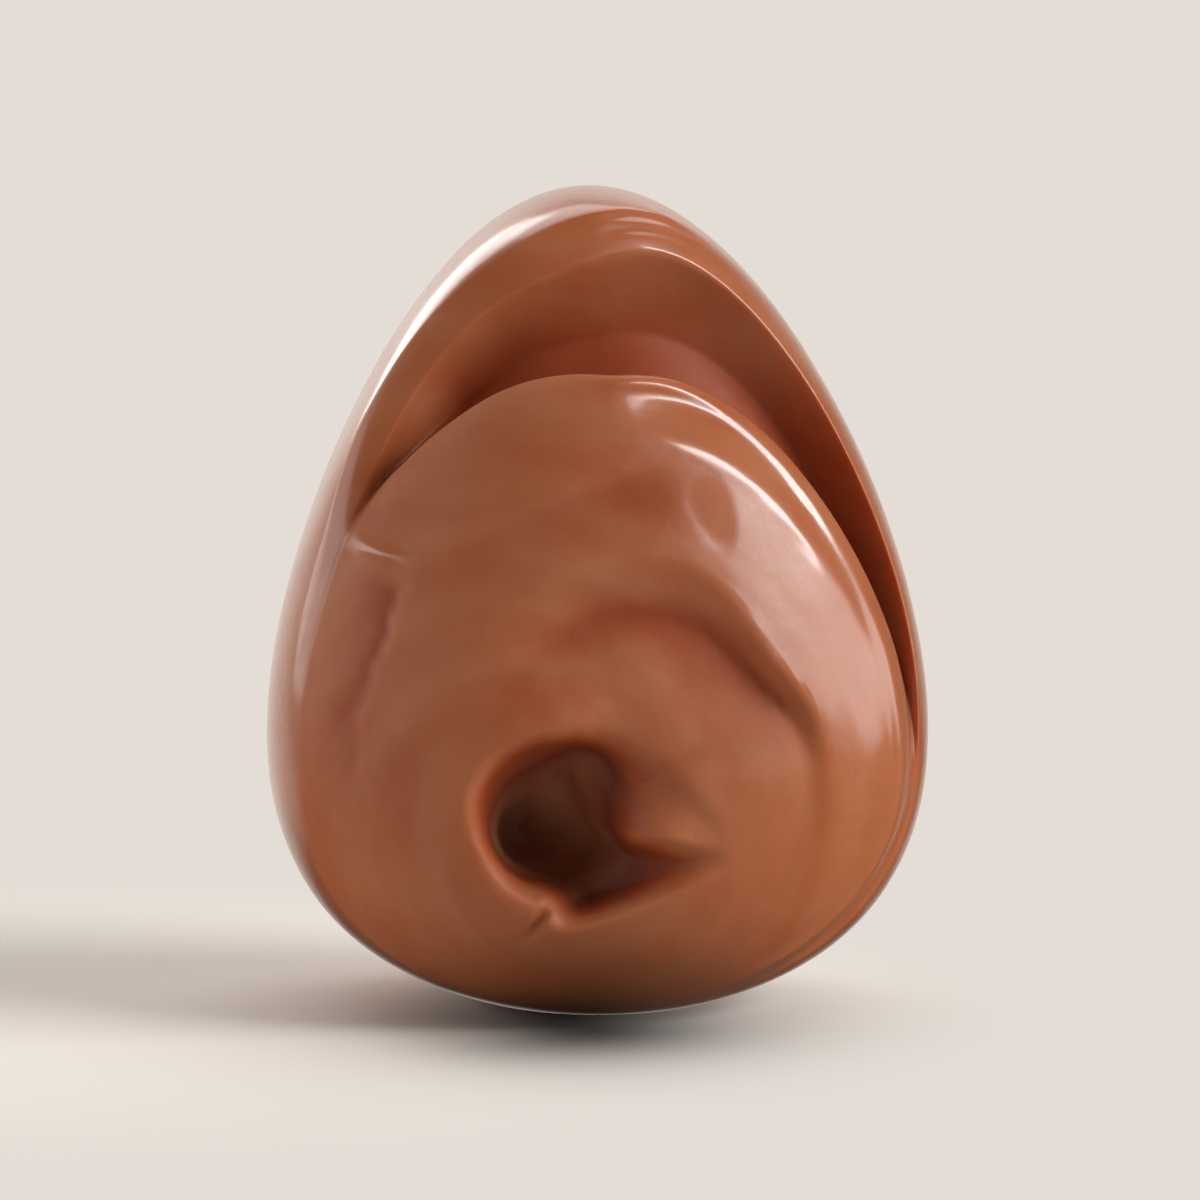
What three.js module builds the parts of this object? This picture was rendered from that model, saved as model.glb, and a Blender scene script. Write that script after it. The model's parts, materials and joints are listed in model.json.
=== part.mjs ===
// A chocolate praline: one moulded, solid piece of milk chocolate that stands on its broad end.
// A hood wraps the back, the sides and the tip. Its lip hangs over a crescent trough, and below that
// a full dome carries soft whorls that wind into a deep eye. The front faces -Y and +Z is up.
//
// The skin is a sphere that has been reshaped. Its front pole sits at the bottom of the eye and its back
// pole in the middle of the back. Every column of points runs from one pole to the other in its own
// direction round the eye, and every row is an angle from 0 at the eye through 90 degrees at the
// outline, as seen from the front, to 180 degrees at the back. Directions round the eye are in degrees
// from the tip, positive towards the right.

import * as THREE from "three";
import { mergeVertices } from "three/addons/utils/BufferGeometryUtils.js";

const { clamp, degToRad, euclideanModulo, lerp, radToDeg, smoothstep } = THREE.MathUtils;

// Overall sizes, in millimetres
const HEIGHT = 34;
const WIDTH = 27.5;
const FRONT_DEPTH = 12.6;
const BACK_DEPTH = 12.4;
const FOOT_CUT = 0.4;

// The egg outline: how much the tip narrows, how full the belly is, how far the tip leans to the left
const TAPER = 0.32;
const BELLY = 0.05;
const TIP_LEAN = 0.35;
// The power of the rounded section, where 2 is an ellipse and more is fuller
const FULLNESS = 2.25;

// The eye of the swirl: a deep soft funnel that leans to the lower left, with a ramp on its right
const EYE = {
  x: -1.6, z: 9, depth: 7.5, leanLeft: 0.22, leanDown: 0.14,
  radius: 1.95, topSwell: 0.45, topAt: 0, topSpread: 60, sideSwell: 0.35, sideAt: 85, sideSpread: 40,
  steepness: 2.5, rampEase: 1.25, rampAt: 75, rampSpread: 60,
};
// The shallow oval dish round the funnel's left and top
const DISH = {
  x: -1.2, z: 10, halfWidth: 3.7, halfHeight: 3.1, depth: 0.8, floor: 0.5, edge: 1.1,
  easeFrom: -0.5, easeTo: 3,
};

// The ring that the hood's lip follows, as row angles, with a dip at the lower right
const RING = { angle: 69.5, skew: 8, dip: 8, from: 88, full: 145, ease: 150, to: 178 };
// The lip comes lower at the crown
const LIP_CROWN = { dip: 6.8, at: -5, leftSpread: 35, rightSpread: 25 };

// The trough between the dome's shoulder and the lip: widest near the tip and closed at both of its ends
const TROUGH = {
  depth: 4.4, gap: 24, widestAt: 10, leftReach: 86, rightReach: 112, roundness: 1.55, narrowest: 1.5,
  openAt: 15, closedBelow: -0.08, openAbove: 0.55,
  dropStart: -0.02, dropEnd: 0.09, closedDrop: 0.7, vaultStart: 0.05, vault: 1.7,
};

// The hood's flat rim, from its lip out to a crest, and where that rim fades out
const CREST = {
  lowLeft: 4, high: 13.8, from: -85, to: -60, narrowing: 4.6, narrowAt: -26, narrowSpread: 24, outermost: 86,
};
const RIM = {
  flatness: 0.8, endRow: 88, from: -125, full: -60, ease: 8, to: 45, tipEase: 0.25, tipAt: 5, tipSpread: 28,
};

// The dome's edge on the right: the band that turns away beyond it, the roll and the bead along the
// shoulder, and the crease that runs on below the closed trough
const EDGE = { wide: 9.3, narrowing: 4.3, from: 60, to: 130 };
const BAND = { tilt: 0.7, softness: 0.2, from: 10, full: 42, ease: 75, to: 118 };
const ROLL = { reach: 1.1, depth: 0.7, power: 3 };
const BEAD = { height: 0.22, at: -0.4, width: 0.35, from: 20, full: 45, ease: 150, to: 170 };
const CREASE = { depth: 0.4, at: 0.15, width: 0.25, from: 80, full: 100, ease: 140, to: 165 };

// Soft grooves along arcs on the front: centre, radius, the arc's ends in degrees from +X, how fast it
// starts and stops, and its half widths towards the centre and away from it
const WHORL = {
  x: 1.9, z: 11, radius: 6.95, from: -3, to: 165, start: 42, stop: 60, depth: 0.95, inner: 4.6, outer: 1.2,
};
const FOLD = {
  x: 8, z: -4, radius: 27.4, from: 98, to: 125, start: 9, stop: 9, depth: 0.35, inner: 1.2, outer: 0.9,
};
const FLANK = {
  x: 4, z: 11.6, radius: 14.25, from: 147, to: 200, start: 8, stop: 22, depth: 0.65, inner: 0.6, outer: 1,
};
const GROOVES = [WHORL, FOLD, FLANK];
// The brow that swells outside the big whorl
const BROW = { height: 0.3, reach: 1.6, from: -45, full: 0, ease: 55, to: 100 };

// The gutter that runs into the eye from the right below a tongue, and the channel above that tongue: each
// has an upper border that falls to the right, and the gutter has a lower border that climbs to meet it
const GUTTER = {
  x: -1.5, length: 6.9, depth: 2, taper: 0.8, mouthFrom: -2.4, mouthTo: 0.2,
  low: 5.15, lowRise: 2.65, lowPower: 1.25, lowFrom: -0.7, lowTo: 1.1,
  top: 8.75, topFall: 0.95, topFrom: -1.2, topTo: 0.9, opening: 3, openUntil: 0.4,
};
const CHANNEL = {
  x: -1.2, top: 13.2, bend: 0.095, depth: 0.8, wall: 0.9, floor: 3,
  from: -1.5, full: 0.8, endX: 5.3, length: 6,
};

// The relief ends just before the outline, at these row angles
const RELIEF_END = { from: 82, to: 89 };

// How finely the skin is divided: columns round the eye, drawn together towards the foot by some degrees,
// and rows that lead up to each stop. The stops are shares of the eye's radius, degrees from the dome's
// edge, shares of the trough's gap, degrees from the lip, and degrees at the outline and behind it.
const COLUMNS = 96;
const COLUMN_DRAW = 22;
const EYE_STOPS = [[0.75, 3], [1.25, 3], [1.7, 3], [3, 7]];
const EDGE_STOPS = [[-2.5, 6]];
const TROUGH_STOPS = [[-0.04, 7], [0.11, 4], [0.5, 3]];
const LIP_STOPS = [[-1, 4], [1.2, 2]];
const CREST_ROWS = 3;
const BACK_STOPS = [[90, 6], [110, 4], [135, 3], [160, 2], [180, 2]];

const bell = (offset, width) => Math.exp(-((offset / width) ** 2));
const turn = (angle, from) => euclideanModulo(angle - from + 180, 360) - 180;
const sine = (angle) => Math.sin(degToRad(angle));
const cosine = (angle) => Math.cos(degToRad(angle));
const window = (value, { from, full, ease, to }) =>
  smoothstep(value, from, full) * (1 - smoothstep(value, ease, to));
// The value where it is above zero and nothing below, with a rounded corner
const softlyAbove = (value, softness) => softness * Math.log1p(Math.exp(value / softness));
// How far forward the bare body stands at a share of the way from the eye to the outline
const section = (reach) => Math.max(0, 1 - reach ** FULLNESS) ** (1 / FULLNESS);

// The egg curve before it is stretched to the width
const eggCurve = (around) => sine(around) * Math.exp(BELLY * cosine(around) ** 2 - TAPER * cosine(around));
const WIDEST = Math.max(...Array.from({ length: 180 }, (_, around) => eggCurve(around)));

// A point of the outline in the given direction, seen from the front
function outline(around) {
  const rise = cosine(around);
  const x = (eggCurve(around) * WIDTH) / 2 / WIDEST - TIP_LEAN * Math.max(rise, 0) ** 2;
  const z = ((HEIGHT + FOOT_CUT) / 2) * (1 + rise);
  return new THREE.Vector2(x, z);
}

// The row angles where one column crosses the dome's edge and shoulder and the hood's lip and crest, and
// how far the trough is open there
function hoodAngles(around) {
  const side = turn(around, 0);
  const ring = RING.angle + RING.skew * sine(around) - RING.dip * window(side, RING);
  const fromCrown = turn(around, LIP_CROWN.at);
  const crownSpread = fromCrown < 0 ? LIP_CROWN.leftSpread : LIP_CROWN.rightSpread;
  const lip = ring - LIP_CROWN.dip * bell(fromCrown, crownSpread);

  const fromWidest = turn(around, TROUGH.widestAt);
  const share = clamp(fromWidest / (fromWidest < 0 ? -TROUGH.leftReach : TROUGH.rightReach), 0, 1);
  const shoulder = ring - Math.hypot(TROUGH.gap * (1 - share ** TROUGH.roundness), TROUGH.narrowest);
  const open = smoothstep(cosine(around - TROUGH.openAt), TROUGH.closedBelow, TROUGH.openAbove);

  const edge = shoulder - EDGE.wide + EDGE.narrowing * smoothstep(side, EDGE.from, EDGE.to);
  const face = lerp(CREST.lowLeft, CREST.high, smoothstep(side, CREST.from, CREST.to));
  const narrow = CREST.narrowing * bell(turn(around, CREST.narrowAt), CREST.narrowSpread);
  const crest = Math.min(lip + face - narrow, CREST.outermost);
  return { side, lip, shoulder, gap: lip - shoulder, open, edge, crest };
}

function eyeRadius(around) {
  return EYE.radius + EYE.topSwell * bell(turn(around, EYE.topAt), EYE.topSpread)
    + EYE.sideSwell * bell(turn(around, EYE.sideAt), EYE.sideSpread);
}

// The funnel's share of its depth at a distance from its middle
function funnelShare(around, distance) {
  const steepness = EYE.steepness - EYE.rampEase * bell(turn(around, EYE.rampAt), EYE.rampSpread);
  return Math.exp(-((distance / eyeRadius(around)) ** steepness));
}

function dishSink(x, z) {
  const reach = Math.hypot((x - DISH.x) / DISH.halfWidth, (z - DISH.z) / DISH.halfHeight);
  const wall = 1 - smoothstep(reach, DISH.floor, DISH.edge);
  return DISH.depth * wall * (1 - smoothstep(x, DISH.easeFrom, DISH.easeTo));
}

// How far the skin has dropped behind the dome's shoulder, as a share
function dropShare(row, { gap, shoulder, open }) {
  const end = TROUGH.dropEnd + (1 - open) * TROUGH.closedDrop;
  return smoothstep((row - shoulder) / gap, TROUGH.dropStart, end);
}

// The trough drops steeply behind the dome's shoulder and vaults up and forward to the lip
function troughSink(row, hood) {
  const across = (row - hood.shoulder) / hood.gap;
  const vault = 1 - clamp((across - TROUGH.vaultStart) / (1 - TROUGH.vaultStart), 0, 1) ** TROUGH.vault;
  return TROUGH.depth * hood.open * dropShare(row, hood) * vault;
}

// The hood's rim stays almost as far forward as its lip, and falls away from the crest to the outline
function rimRise(row, forward, { side, lip, crest }) {
  const flatness = RIM.flatness * (1 - RIM.tipEase * bell(side - RIM.tipAt, RIM.tipSpread));
  const down = 1 - clamp((row - crest) / (RIM.endRow - crest), 0, 1);
  const short = Math.max(FRONT_DEPTH * section(sine(lip)) - forward, 0);
  return flatness * short * down * window(side, RIM);
}

// The band, the roll, the bead and the crease along the dome's edge
function edgeSink(row, run, hood) {
  const pastEdge = run * (sine(row) - sine(hood.edge));
  const pastShoulder = run * (sine(row) - sine(hood.shoulder));
  const low = window(hood.side, CREASE);
  const onDome = window(hood.side, BAND) * (1 - dropShare(row, hood));
  const band = BAND.tilt * softlyAbove(pastEdge, BAND.softness) * onDome;
  const onBead = window(hood.side, BEAD);
  const bead = BEAD.height * bell(pastShoulder - BEAD.at, BEAD.width) * onBead;
  const rollShare = clamp(pastShoulder / ROLL.reach + 1, 0, 1) ** ROLL.power;
  const roll = ROLL.depth * rollShare * hood.open * (1 - onBead);
  return band + roll - bead + CREASE.depth * bell(pastShoulder - CREASE.at, CREASE.width) * low;
}

function grooveSink(groove, x, z) {
  const offset = Math.hypot(x - groove.x, z - groove.z) - groove.radius;
  const middle = (groove.from + groove.to) / 2;
  const bearing = radToDeg(Math.atan2(z - groove.z, x - groove.x));
  const angle = middle + turn(bearing, middle);
  const start = smoothstep(angle - groove.from, 0, groove.start);
  const stop = smoothstep(groove.to - angle, 0, groove.stop);
  return groove.depth * start * stop * bell(offset, offset < 0 ? groove.inner : groove.outer);
}

function browRise(x, z) {
  const offset = Math.hypot(x - WHORL.x, z - WHORL.z) - WHORL.radius;
  const bearing = radToDeg(Math.atan2(z - WHORL.z, x - WHORL.x));
  const fade = Math.exp(-Math.max(offset - WHORL.outer, 0) / BROW.reach);
  return BROW.height * clamp(offset / WHORL.outer, 0, 1) * fade * window(bearing, BROW);
}

function gutterSink(x, z) {
  const along = clamp((x - GUTTER.x) / GUTTER.length, 0, 1);
  const low = GUTTER.low + GUTTER.lowRise * along ** GUTTER.lowPower;
  const opening = GUTTER.opening * (1 - smoothstep(along, 0, GUTTER.openUntil));
  const top = GUTTER.top - GUTTER.topFall * along ** 2 + opening;
  const lowWall = smoothstep(z - low, GUTTER.lowFrom, GUTTER.lowTo);
  const topWall = 1 - smoothstep(z - top, GUTTER.topFrom, GUTTER.topTo);
  const mouth = smoothstep(x, GUTTER.mouthFrom, GUTTER.mouthTo);
  return GUTTER.depth * (1 - along) ** GUTTER.taper * mouth * lowWall * topWall;
}

function channelSink(x, z) {
  const below = CHANNEL.top - CHANNEL.bend * (x - CHANNEL.x) ** 2 - z;
  const across = smoothstep(below, 0, CHANNEL.wall) * (1 - smoothstep(below, CHANNEL.wall, CHANNEL.floor));
  const along = clamp((CHANNEL.endX - x) / CHANNEL.length, 0, 1);
  return CHANNEL.depth * across * along * smoothstep(x, CHANNEL.from, CHANNEL.full);
}

// One point of the skin, from its direction round the eye and its row angle
function skinPoint(around, row) {
  const toOutline = outline(around).sub(new THREE.Vector2(EYE.x, EYE.z));
  const run = toOutline.length();
  const reach = Math.abs(sine(row));
  let x = EYE.x + toOutline.x * reach;
  let z = EYE.z + toOutline.y * reach;
  let forward = (row < 90 ? FRONT_DEPTH : -BACK_DEPTH) * section(reach);

  const hood = hoodAngles(around);
  const front = 1 - smoothstep(row, RELIEF_END.from, RELIEF_END.to);
  const funnel = funnelShare(around, run * reach);
  const eye = front * EYE.depth * funnel;
  const grooves = GROOVES.reduce((sum, groove) => sum + grooveSink(groove, x, z), 0);
  const inlets = (gutterSink(x, z) + channelSink(x, z)) * (1 - funnel);
  const hollows = troughSink(row, hood) + inlets + dishSink(x, z);
  const sink = hollows + grooves + edgeSink(row, run, hood);
  const rise = rimRise(row, forward, hood) + browRise(x, z);
  forward -= front * (sink - rise) + eye;
  x -= EYE.leanLeft * eye;
  z -= EYE.leanDown * eye;
  return new THREE.Vector3(x, -forward, Math.max(z, FOOT_CUT) - FOOT_CUT);
}

// The rows of one column: stops at its features, and how many rows lead up to each
function rowStops(around) {
  const { lip, gap, shoulder, edge, crest } = hoodAngles(around);
  const run = outline(around).distanceTo(new THREE.Vector2(EYE.x, EYE.z));
  const eyeRow = (share) => radToDeg(Math.asin(Math.min((share * eyeRadius(around)) / run, 1)));
  return [
    [0, 0],
    ...EYE_STOPS.map(([share, rows]) => [eyeRow(share), rows]),
    ...EDGE_STOPS.map(([offset, rows]) => [edge + offset, rows]),
    ...TROUGH_STOPS.map(([share, rows]) => [shoulder + share * gap, rows]),
    ...LIP_STOPS.map(([offset, rows]) => [lip + offset, rows]),
    [crest, CREST_ROWS],
    ...BACK_STOPS,
  ];
}

function rowAngles(around) {
  const stops = rowStops(around);
  const angles = [0];
  stops.slice(1).forEach(([end, rows], before) => {
    const [start] = stops[before];
    for (let row = 1; row <= rows; row++) angles.push(lerp(start, end, row / rows));
  });
  return angles;
}

// The reshaped sphere, closed along its seam and at its poles, with its foot centred on the origin
function pralineGeometry() {
  const rows = rowAngles(0).length - 1;
  const geometry = new THREE.SphereGeometry(1, COLUMNS, rows);
  const { position } = geometry.attributes;
  for (let column = 0; column <= COLUMNS; column++) {
    const even = 360 * (1 - column / COLUMNS);
    const around = even + COLUMN_DRAW * sine(even);
    rowAngles(around).forEach((row, index) => {
      const point = skinPoint(around, row);
      position.setXYZ(index * (COLUMNS + 1) + column, point.x, point.y, point.z);
    });
  }
  geometry.deleteAttribute("normal");
  geometry.deleteAttribute("uv");
  geometry.computeBoundingBox();
  const middle = geometry.boundingBox.getCenter(new THREE.Vector3());
  geometry.translate(-middle.x, -middle.y, -geometry.boundingBox.min.z);
  const closed = mergeVertices(geometry);
  closed.computeVertexNormals();
  return closed;
}

const milkChocolate = new THREE.MeshStandardMaterial({ color: 0x8c4d2a, roughness: 0.3, metalness: 0 });
const praline = new THREE.Mesh(pralineGeometry(), milkChocolate);
praline.name = "praline";

const sweet = new THREE.Group();
sweet.add(praline);

export default sweet;
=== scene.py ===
# %% [markdown]
# # A moulded chocolate praline
# The object is one piece of milk chocolate, 34 mm tall, that stands on its broad end. A hood wraps the back,
# the sides and the tip. Its lip hangs over a crescent trough, and below that a full dome carries soft whorls
# that wind into a deep eye.
#
# The packed solid comes first. It is plain and faceted, but it fixes the size and the place, so everything
# below is worked out from its box.

# %% Load the frame
import json
import math
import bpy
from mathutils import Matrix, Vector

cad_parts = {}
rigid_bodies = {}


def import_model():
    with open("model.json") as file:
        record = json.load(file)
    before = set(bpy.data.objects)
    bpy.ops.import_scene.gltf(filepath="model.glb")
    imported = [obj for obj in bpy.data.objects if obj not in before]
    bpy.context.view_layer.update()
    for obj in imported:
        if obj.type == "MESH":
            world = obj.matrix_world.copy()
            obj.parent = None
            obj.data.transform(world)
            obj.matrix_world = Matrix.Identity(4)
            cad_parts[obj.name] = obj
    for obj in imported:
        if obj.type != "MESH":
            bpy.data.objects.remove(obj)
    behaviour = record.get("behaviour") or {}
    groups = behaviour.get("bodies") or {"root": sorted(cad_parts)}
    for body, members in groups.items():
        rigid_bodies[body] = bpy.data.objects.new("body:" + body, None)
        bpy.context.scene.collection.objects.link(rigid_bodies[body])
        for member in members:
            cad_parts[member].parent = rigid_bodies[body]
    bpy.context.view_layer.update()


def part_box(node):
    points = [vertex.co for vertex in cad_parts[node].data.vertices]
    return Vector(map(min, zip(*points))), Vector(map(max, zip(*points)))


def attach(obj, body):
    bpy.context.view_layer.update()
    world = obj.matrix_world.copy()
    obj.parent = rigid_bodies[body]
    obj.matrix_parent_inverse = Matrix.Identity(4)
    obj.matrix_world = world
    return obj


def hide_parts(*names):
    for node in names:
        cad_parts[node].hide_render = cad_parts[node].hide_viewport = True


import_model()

from types import SimpleNamespace

import bpy
from mathutils import Quaternion, Vector

MM = 0.001
box_low, box_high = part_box("praline")
WIDTH = (box_high.x - box_low.x) / MM
HEIGHT = (box_high.z - box_low.z) / MM
print(f"the solid is {WIDTH:.2f} mm wide and {HEIGHT:.2f} mm tall")

# %% [markdown]
# ## Sums that build nodes
# Every form on this praline follows a rule, so Geometry Nodes can work out the whole skin. A formula takes
# many Math nodes, and wiring them by hand hides what it says. Here a small class stands for a number that
# travels through a tree: adding or multiplying it in Python adds the Math node and its links. The same class
# serves the materials later, because Math nodes work in both kinds of tree.

# %% A number that adds Math nodes
class Amount:
    """A number on its way through a node tree."""

    def __init__(self, socket):
        self.socket = socket
        self.tree = socket.id_data


def feed(node, name, value):
    """Give a node's input a value: link an amount, or type in a plain number."""
    if isinstance(value, Amount):
        value.tree.links.new(value.socket, node.inputs[name])
    else:
        node.inputs[name].default_value = value


def math_node(operation, *values):
    """Add one Math node to the tree that its amounts are in."""
    tree = next(value.tree for value in values if isinstance(value, Amount))
    node = tree.nodes.new("ShaderNodeMath")
    node.operation = operation
    for index, value in enumerate(values):
        feed(node, index, value)
    return Amount(node.outputs[0])


def add_operator(name, operation):
    """Let Python's own sign for an operation join amounts with amounts or numbers."""
    setattr(Amount, f"__{name}__", lambda left, right: math_node(operation, left, right))
    setattr(Amount, f"__r{name}__", lambda right, left: math_node(operation, left, right))


OPERATORS = {"add": "ADD", "sub": "SUBTRACT", "mul": "MULTIPLY", "truediv": "DIVIDE", "pow": "POWER"}
for name, operation in OPERATORS.items():
    add_operator(name, operation)
print("amounts can be joined by", ", ".join(OPERATORS))

# %% [markdown]
# ## Curves for soft forms
# Poured and moulded chocolate has hardly any sharp corners. Nearly every form below is a bell, which makes a
# groove or a ridge, an ease, which goes from one level to another, or a window, which begins and ends a form
# along its way. Float Curve nodes could hold such shapes too, but they are set by hand, point by point, and a
# formula can take another amount as its width or its end. Angles are in degrees.

# %% Angles and limits
def sine(angle):
    return math_node("SINE", math_node("RADIANS", angle))


def cosine(angle):
    return math_node("COSINE", math_node("RADIANS", angle))


def bearing(opposite, adjacent):
    return math_node("DEGREES", math_node("ARCTAN2", opposite, adjacent))


def turn(angle, start):
    """How far an angle has turned from another, between -180 and 180."""
    return math_node("WRAP", angle - start, 180, -180)


def hypotenuse(one, other):
    return math_node("SQRT", one * one + other * other)


def at_least(value, lowest):
    return math_node("MAXIMUM", value, lowest)


def limit(value, lowest=0, highest=1):
    return math_node("MINIMUM", math_node("MAXIMUM", value, lowest), highest)


def either(value, below, above):
    """One value where the first is below zero, and another elsewhere."""
    return above + math_node("LESS_THAN", value, 0) * (below - above)


print("angles and limits are ready")

# %% Bells, eases and windows
def bell(offset, spread):
    """One in the middle, falling softly to nothing about two spreads away."""
    share = offset / spread
    return math_node("EXPONENT", share * share * -1)


def ease(value, start, end):
    """A smooth step from nothing at the start to one at the end."""
    node = value.tree.nodes.new("ShaderNodeMapRange")
    node.interpolation_type = "SMOOTHSTEP"
    feed(node, "Value", value)
    feed(node, "From Min", start)
    feed(node, "From Max", end)
    return Amount(node.outputs["Result"])


def window(value, span):
    """One inside a span of values, with soft ends."""
    return ease(value, span.start, span.full) * (1 - ease(value, span.fade, span.end))


print("bells, eases and windows are ready")

# %% [markdown]
# ## The tree and its sizes
# The sizes that someone may want to change are named inputs of the tree, so they show on the modifier. Each
# is declared where its form is first described. The values are kept by socket identifier, because that is
# how a modifier knows its inputs. The tree will have close to a thousand nodes, so each step below also
# gathers its own in a titled frame.

# %% An empty tree with a place for named sizes
NODE_STEP = 200
NODES_PER_COLUMN = 8
FRAME_STEP = 2000
UNFRAMED = {"FRAME", "GROUP_INPUT", "GROUP_OUTPUT"}

form = bpy.data.node_groups.new("praline_form", "GeometryNodeTree")
form.interface.new_socket("Geometry", in_out="OUTPUT", socket_type="NodeSocketGeometry")
size_inputs = form.nodes.new("NodeGroupInput")
size_values = {}


def size(name, value):
    """Declare one named size of the praline and return it as an amount."""
    socket = form.interface.new_socket(name, in_out="INPUT", socket_type="NodeSocketFloat")
    size_values[socket.identifier] = value
    return Amount(size_inputs.outputs[name])


def frame_nodes(title):
    """Gather the nodes that were added since the last call in a titled frame, in columns."""
    group = form.nodes.new("NodeFrame")
    group.label = title
    loose = [node for node in form.nodes if node.parent is None and node.type not in UNFRAMED]
    frames = sum(node.type == "FRAME" for node in form.nodes)
    for index, node in enumerate(loose):
        column, place = divmod(index, NODES_PER_COLUMN)
        node.parent = group
        node.location = (NODE_STEP * column, -NODE_STEP * place - FRAME_STEP * frames)
    print(f"{title}: {len(loose)} nodes")

# %% [markdown]
# ## A sphere to start from
# A smooth closed skin with no seams is wanted, and a sphere is one. Its front pole becomes the bottom of the
# eye and its back pole the middle of the back. A column then runs from the eye out to the outline and round
# to the back, and a row circles the eye. All that the formulas need from the sphere is which column and row
# a point is in. Columns are drawn together towards the foot, where the outline bends most.

# %% The sphere's columns and rows
COLUMNS = 448
COLUMN_DRAW = 22
ROWS = SimpleNamespace(eye=38, dome=38, roll=36, drop=18, vault=26, lip=8, face=14, ridge=12, back=28)
BACK_ROW = 180
row_count = sum(vars(ROWS).values())

sphere = form.nodes.new("GeometryNodeMeshUVSphere")
feed(sphere, "Segments", COLUMNS)
feed(sphere, "Rings", row_count)
split = form.nodes.new("ShaderNodeSeparateXYZ")
form.links.new(form.nodes.new("GeometryNodeInputPosition").outputs[0], split.inputs[0])
ball_x, ball_y, ball_z = (Amount(socket) for socket in split.outputs)

even = bearing(ball_y, ball_x) * -1
around = even + sine(even) * COLUMN_DRAW
row_share = bearing(hypotenuse(ball_x, ball_y), ball_z) / BACK_ROW
frame_nodes("Columns and rows")
print(f"{COLUMNS} columns of {row_count} rows make {2 * COLUMNS * (row_count - 1)} triangles")

# %% [markdown]
# ## The egg outline
# Seen from the front, the praline is an egg whose tip leans a little to the left. An ellipse that is squeezed
# towards the tip by an exponential gives that outline from two numbers, with no points to trace. The foot is
# cut off flat at the end, so the egg is taller than the praline by that cut.

# %% The outline in each column's direction
TAPER = 0.32
BELLY = 0.05
TIP_LEAN = 0.35

height = size("Height", HEIGHT)
width = size("Width", WIDTH)
foot_cut = size("Foot Cut", 0.4)


def plain_egg(angle):
    """Half the width of an egg of unit girth, in one direction from its middle."""
    rise = math.cos(angle)
    return math.sin(angle) * math.exp(BELLY * rise ** 2 - TAPER * rise)


widest = max(plain_egg(math.radians(degree)) for degree in range(180))
rise = cosine(around)
squeeze = math_node("EXPONENT", rise * rise * BELLY - rise * TAPER)
outline_x = sine(around) * squeeze * width / (2 * widest) - at_least(rise, 0) ** 2 * TIP_LEAN
outline_z = (height + foot_cut) / 2 * (rise + 1)
frame_nodes("Egg outline")

# %% [markdown]
# ## Where the hood's lip and the dome's shoulder run
# Each column crosses the dome's shoulder, then the trough, then the hood's lip. Both lines are angles from
# the eye. The lip circles the dome, higher on one side and lower at its crown. The trough's gap is widest
# towards the tip and closes at both ends, which makes the crescent. Two curves with a gap between them are
# easier to steer than one drawn crescent, because the lip and the shoulder can't cross.

# %% The lip, the shoulder and the gap between them
RING = SimpleNamespace(angle=69.5, skew=8, low_dip=8)
LOW_RIGHT = SimpleNamespace(start=88, full=145, fade=150, end=178)
LIP_CROWN = SimpleNamespace(dip=6.8, at=-5, left_spread=35, right_spread=25)
GAP = SimpleNamespace(widest_at=10, left_reach=86, right_reach=112, roundness=1.55, narrowest=1.5)
OPENING = SimpleNamespace(at=19, closed_below=-0.08, open_above=0.55)
trough_gap = size("Trough Gap", 24)

side = turn(around, 0)
ring = sine(around) * RING.skew - window(side, LOW_RIGHT) * RING.low_dip + RING.angle
from_crown = turn(around, LIP_CROWN.at)
crown = bell(from_crown, either(from_crown, LIP_CROWN.left_spread, LIP_CROWN.right_spread))
lip = ring - crown * LIP_CROWN.dip

from_widest = turn(around, GAP.widest_at)
reach_share = limit(from_widest / either(from_widest, -GAP.left_reach, GAP.right_reach))
open_gap = trough_gap * (1 - reach_share ** GAP.roundness)
shoulder = ring - math_node("SQRT", open_gap * open_gap + GAP.narrowest ** 2)
gap = lip - shoulder
openness = ease(cosine(around - OPENING.at), OPENING.closed_below, OPENING.open_above)
frame_nodes("Lip and shoulder")

# %% [markdown]
# ## The eye's size
# The whorls wind into an eye that is a little wider above and to the right, where a ramp leads down into it.
# It could be a plain round hole, but then the swirl would not seem to flow in. So its radius and its
# steepness change with the direction round it.

# %% The eye's place, radius and steepness
EYE_SWELLS = ((0.2, 0, 60), (0.25, 85, 40))
EYE_WALL = SimpleNamespace(steepness=2.5, ramp_ease=1.25, ramp_at=75, ramp_spread=60)
eye_x = size("Eye X", -1.6)
eye_z = size("Eye Z", 9.0)
eye_radius = size("Eye Radius", 1.95)

eye_reach = eye_radius
for swell, swell_at, swell_spread in EYE_SWELLS:
    eye_reach = eye_reach + bell(turn(around, swell_at), swell_spread) * swell
on_ramp = bell(turn(around, EYE_WALL.ramp_at), EYE_WALL.ramp_spread)
steepness = EYE_WALL.steepness - on_ramp * EYE_WALL.ramp_ease
run_x = outline_x - eye_x
run_z = outline_z - eye_z
run = hypotenuse(run_x, run_z)
frame_nodes("Eye's size")

# %% [markdown]
# ## Rows where the form needs them
# Even rows would waste points on the plain back and blur the sharp lip. So each column's rows are dealt out
# between stops: the eye's rim, the dome's edge, the shoulder, the drop behind it, the lip, the crest of the
# hood's rim, the outline and the back. Between two stops the rows are even.

# %% The edge of the dome and the crest of the hood
EDGE_INSET = SimpleNamespace(wide=7.9, narrowing=2.9, start=60, end=130)
CREST = SimpleNamespace(low_left=4, high=13.8, start=-85, end=-60, outermost=86)
CREST_WAIST = SimpleNamespace(narrowing=4.6, at=-26, spread=24)

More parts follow.
